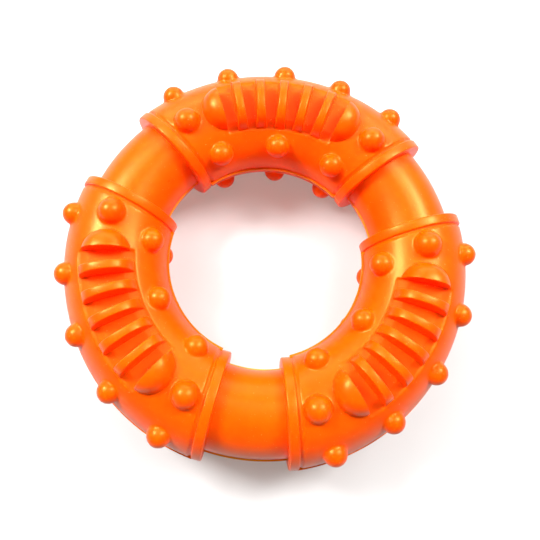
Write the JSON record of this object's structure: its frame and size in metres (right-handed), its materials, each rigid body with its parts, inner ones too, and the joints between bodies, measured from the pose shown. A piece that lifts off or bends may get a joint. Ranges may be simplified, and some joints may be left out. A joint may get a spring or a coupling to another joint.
{
  "type": "dog chew ring",
  "caption": "Solid orange rubber chew ring for a dog, with a plain round core, three raised sleeves edged by beads, sixty rounded nubs and six ribbed chew panels.",
  "frame": {"origin": "centre of the ring, on its axis and halfway up", "axes": "+Z along the ring's axis, up when the ring lies flat; +Y through the middle of the back sleeve; +X completes the right-handed frame"},
  "size_m": [0.1498, 0.1479, 0.0488],
  "materials": {
    "orange_rubber": "satin"
  },
  "bodies": {
    "root": {"core_ring": "orange_rubber", "sleeve_back": "orange_rubber", "end_bead_back_a": "orange_rubber", "end_bead_back_b": "orange_rubber", "rib_back_upper_1": "orange_rubber", "rib_back_upper_2": "orange_rubber", "rib_back_upper_3": "orange_rubber", "rib_back_upper_4": "orange_rubber", "rib_back_upper_5": "orange_rubber", "half_moon_back_upper_a": "orange_rubber", "half_moon_back_upper_b": "orange_rubber", "rib_back_lower_1": "orange_rubber", "rib_back_lower_2": "orange_rubber", "rib_back_lower_3": "orange_rubber", "rib_back_lower_4": "orange_rubber", "rib_back_lower_5": "orange_rubber", "half_moon_back_lower_a": "orange_rubber", "half_moon_back_lower_b": "orange_rubber", "sleeve_left": "orange_rubber", "end_bead_left_a": "orange_rubber", "end_bead_left_b": "orange_rubber", "rib_left_upper_1": "orange_rubber", "rib_left_upper_2": "orange_rubber", "rib_left_upper_3": "orange_rubber", "rib_left_upper_4": "orange_rubber", "rib_left_upper_5": "orange_rubber", "half_moon_left_upper_a": "orange_rubber", "half_moon_left_upper_b": "orange_rubber", "rib_left_lower_1": "orange_rubber", "rib_left_lower_2": "orange_rubber", "rib_left_lower_3": "orange_rubber", "rib_left_lower_4": "orange_rubber", "rib_left_lower_5": "orange_rubber", "half_moon_left_lower_a": "orange_rubber", "half_moon_left_lower_b": "orange_rubber", "sleeve_right": "orange_rubber", "end_bead_right_a": "orange_rubber", "end_bead_right_b": "orange_rubber", "rib_right_upper_1": "orange_rubber", "rib_right_upper_2": "orange_rubber", "rib_right_upper_3": "orange_rubber", "rib_right_upper_4": "orange_rubber", "rib_right_upper_5": "orange_rubber", "half_moon_right_upper_a": "orange_rubber", "half_moon_right_upper_b": "orange_rubber", "rib_right_lower_1": "orange_rubber", "rib_right_lower_2": "orange_rubber", "rib_right_lower_3": "orange_rubber", "rib_right_lower_4": "orange_rubber", "rib_right_lower_5": "orange_rubber", "half_moon_right_lower_a": "orange_rubber", "half_moon_right_lower_b": "orange_rubber"}
  },
  "joints": []
}
